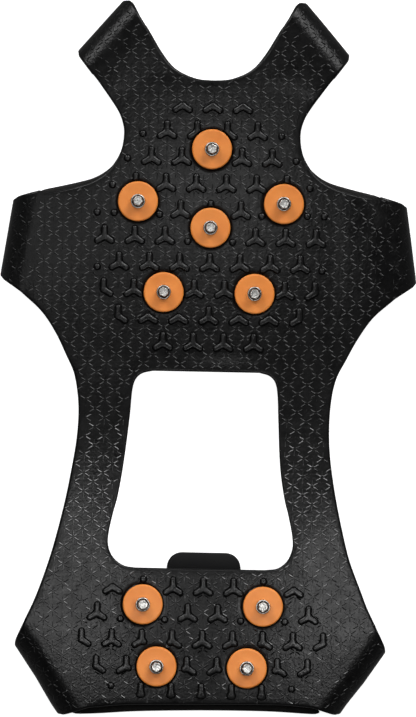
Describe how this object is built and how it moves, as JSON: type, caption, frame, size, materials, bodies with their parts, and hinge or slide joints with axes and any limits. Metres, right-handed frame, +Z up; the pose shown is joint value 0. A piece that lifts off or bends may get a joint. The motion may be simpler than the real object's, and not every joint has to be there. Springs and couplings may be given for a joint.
{
  "type": "ice cleat",
  "caption": "Slip-on rubber overshoe with a treaded sole that carries screw-in steel spikes on orange discs, folded flat with its rim under the sole.",
  "frame": {"origin": "middle of the outline, on the surface that the folded rim lies on", "axes": "+Z up out of the tread, as the cleat lies in the picture; +Y towards the toe; +X to the right seen from the tread side. Worn, the part is turned over, tread down."},
  "size_m": [0.1392, 0.2391, 0.0228],
  "materials": {
    "rubber_sheet": "satin moulded rubber with a fine star grain",
    "rubber_tread": "satin moulded rubber lugs",
    "orange_disc": "satin moulded polyurethane",
    "spike_steel": "bright turned steel, lightly pitted tip",
    "anchor_steel": "zinc-plated steel"
  },
  "bodies": {
    "rim": {"left_toe_strap": "rubber_sheet", "right_toe_strap": "rubber_sheet", "left_side_wing": "rubber_sheet", "right_side_wing": "rubber_sheet", "left_heel_arm": "rubber_sheet", "right_heel_arm": "rubber_sheet", "toe_band": "rubber_sheet", "left_side_band": "rubber_sheet", "right_side_band": "rubber_sheet", "heel_band": "rubber_sheet"},
    "sole": {"forefoot_pad": "rubber_sheet", "left_waist_bar": "rubber_sheet", "right_waist_bar": "rubber_sheet", "heel_pad": "rubber_sheet", "forefoot_lugs": "rubber_tread", "heel_lugs": "rubber_tread", "anchor_01": "anchor_steel", "anchor_02": "anchor_steel", "anchor_03": "anchor_steel", "anchor_04": "anchor_steel", "anchor_05": "anchor_steel", "anchor_06": "anchor_steel", "anchor_07": "anchor_steel", "anchor_08": "anchor_steel", "anchor_09": "anchor_steel", "anchor_10": "anchor_steel"},
    "pull_tab": {"pull_tab": "rubber_sheet"},
    "disc_01": {"disc_01": "orange_disc"},
    "spike_01": {"spike_01": "spike_steel"},
    "disc_02": {"disc_02": "orange_disc"},
    "spike_02": {"spike_02": "spike_steel"},
    "disc_03": {"disc_03": "orange_disc"},
    "spike_03": {"spike_03": "spike_steel"},
    "disc_04": {"disc_04": "orange_disc"},
    "spike_04": {"spike_04": "spike_steel"},
    "disc_05": {"disc_05": "orange_disc"},
    "spike_05": {"spike_05": "spike_steel"},
    "disc_06": {"disc_06": "orange_disc"},
    "spike_06": {"spike_06": "spike_steel"},
    "disc_07": {"disc_07": "orange_disc"},
    "spike_07": {"spike_07": "spike_steel"},
    "disc_08": {"disc_08": "orange_disc"},
    "spike_08": {"spike_08": "spike_steel"},
    "disc_09": {"disc_09": "orange_disc"},
    "spike_09": {"spike_09": "spike_steel"},
    "disc_10": {"disc_10": "orange_disc"},
    "spike_10": {"spike_10": "spike_steel"}
  },
  "joints": [
    {"name": "pocket_open", "type": "slide", "parent": "rim", "child": "sole", "axis": [0, 0, 1], "range_m": [0, 0.024], "stiffness_N_per_m": 250, "deforming": ["left_toe_strap", "right_toe_strap", "left_side_wing", "right_side_wing", "left_heel_arm", "right_heel_arm"]},
    {"name": "pull_tab_flex", "type": "hinge", "parent": "rim", "child": "pull_tab", "pos_m": [0, -0.0775, 0.0012], "axis": [1, 0, 0], "range_deg": [0, 75], "stiffness_Nm_per_rad": 0.0008},
    {"name": "spike_01_lift", "type": "slide", "parent": "sole", "child": "disc_01", "axis": [0, 0, 1], "range_m": [0, 0.0035]},
    {"name": "spike_01_turn", "type": "hinge", "parent": "disc_01", "child": "spike_01", "pos_m": [0, 0.07, 0.0164], "axis": [0, 0, 1], "range_deg": [0, 2521]},
    {"name": "spike_02_lift", "type": "slide", "parent": "sole", "child": "disc_02", "axis": [0, 0, 1], "range_m": [0, 0.0035]},
    {"name": "spike_02_turn", "type": "hinge", "parent": "disc_02", "child": "spike_02", "pos_m": [-0.0244, 0.0521, 0.0164], "axis": [0, 0, 1], "range_deg": [0, 2521]},
    {"name": "spike_03_lift", "type": "slide", "parent": "sole", "child": "disc_03", "axis": [0, 0, 1], "range_m": [0, 0.0035]},
    {"name": "spike_03_turn", "type": "hinge", "parent": "disc_03", "child": "spike_03", "pos_m": [0.0244, 0.0521, 0.0164], "axis": [0, 0, 1], "range_deg": [0, 2521]},
    {"name": "spike_04_lift", "type": "slide", "parent": "sole", "child": "disc_04", "axis": [0, 0, 1], "range_m": [0, 0.0035]},
    {"name": "spike_04_turn", "type": "hinge", "parent": "disc_04", "child": "spike_04", "pos_m": [0, 0.0437, 0.0164], "axis": [0, 0, 1], "range_deg": [0, 2521]},
    {"name": "spike_05_lift", "type": "slide", "parent": "sole", "child": "disc_05", "axis": [0, 0, 1], "range_m": [0, 0.0035]},
    {"name": "spike_05_turn", "type": "hinge", "parent": "disc_05", "child": "spike_05", "pos_m": [-0.0152, 0.0219, 0.0164], "axis": [0, 0, 1], "range_deg": [0, 2521]},
    {"name": "spike_06_lift", "type": "slide", "parent": "sole", "child": "disc_06", "axis": [0, 0, 1], "range_m": [0, 0.0035]},
    {"name": "spike_06_turn", "type": "hinge", "parent": "disc_06", "child": "spike_06", "pos_m": [0.0152, 0.0219, 0.0164], "axis": [0, 0, 1], "range_deg": [0, 2521]},
    {"name": "spike_07_lift", "type": "slide", "parent": "sole", "child": "disc_07", "axis": [0, 0, 1], "range_m": [0, 0.0035]},
    {"name": "spike_07_turn", "type": "hinge", "parent": "disc_07", "child": "spike_07", "pos_m": [-0.0201, -0.0826, 0.0164], "axis": [0, 0, 1], "range_deg": [0, 2521]},
    {"name": "spike_08_lift", "type": "slide", "parent": "sole", "child": "disc_08", "axis": [0, 0, 1], "range_m": [0, 0.0035]},
    {"name": "spike_08_turn", "type": "hinge", "parent": "disc_08", "child": "spike_08", "pos_m": [0.0201, -0.0826, 0.0164], "axis": [0, 0, 1], "range_deg": [0, 2521]},
    {"name": "spike_09_lift", "type": "slide", "parent": "sole", "child": "disc_09", "axis": [0, 0, 1], "range_m": [0, 0.0035]},
    {"name": "spike_09_turn", "type": "hinge", "parent": "disc_09", "child": "spike_09", "pos_m": [-0.0151, -0.1033, 0.0164], "axis": [0, 0, 1], "range_deg": [0, 2521]},
    {"name": "spike_10_lift", "type": "slide", "parent": "sole", "child": "disc_10", "axis": [0, 0, 1], "range_m": [0, 0.0035]},
    {"name": "spike_10_turn", "type": "hinge", "parent": "disc_10", "child": "spike_10", "pos_m": [0.0151, -0.1033, 0.0164], "axis": [0, 0, 1], "range_deg": [0, 2521]}
  ],
  "couplings": [
    {"joint": "spike_01_turn", "follows": "spike_01_lift", "rad_per_m": 12566},
    {"joint": "spike_02_turn", "follows": "spike_02_lift", "rad_per_m": 12566},
    {"joint": "spike_03_turn", "follows": "spike_03_lift", "rad_per_m": 12566},
    {"joint": "spike_04_turn", "follows": "spike_04_lift", "rad_per_m": 12566},
    {"joint": "spike_05_turn", "follows": "spike_05_lift", "rad_per_m": 12566},
    {"joint": "spike_06_turn", "follows": "spike_06_lift", "rad_per_m": 12566},
    {"joint": "spike_07_turn", "follows": "spike_07_lift", "rad_per_m": 12566},
    {"joint": "spike_08_turn", "follows": "spike_08_lift", "rad_per_m": 12566},
    {"joint": "spike_09_turn", "follows": "spike_09_lift", "rad_per_m": 12566},
    {"joint": "spike_10_turn", "follows": "spike_10_lift", "rad_per_m": 12566}
  ]
}
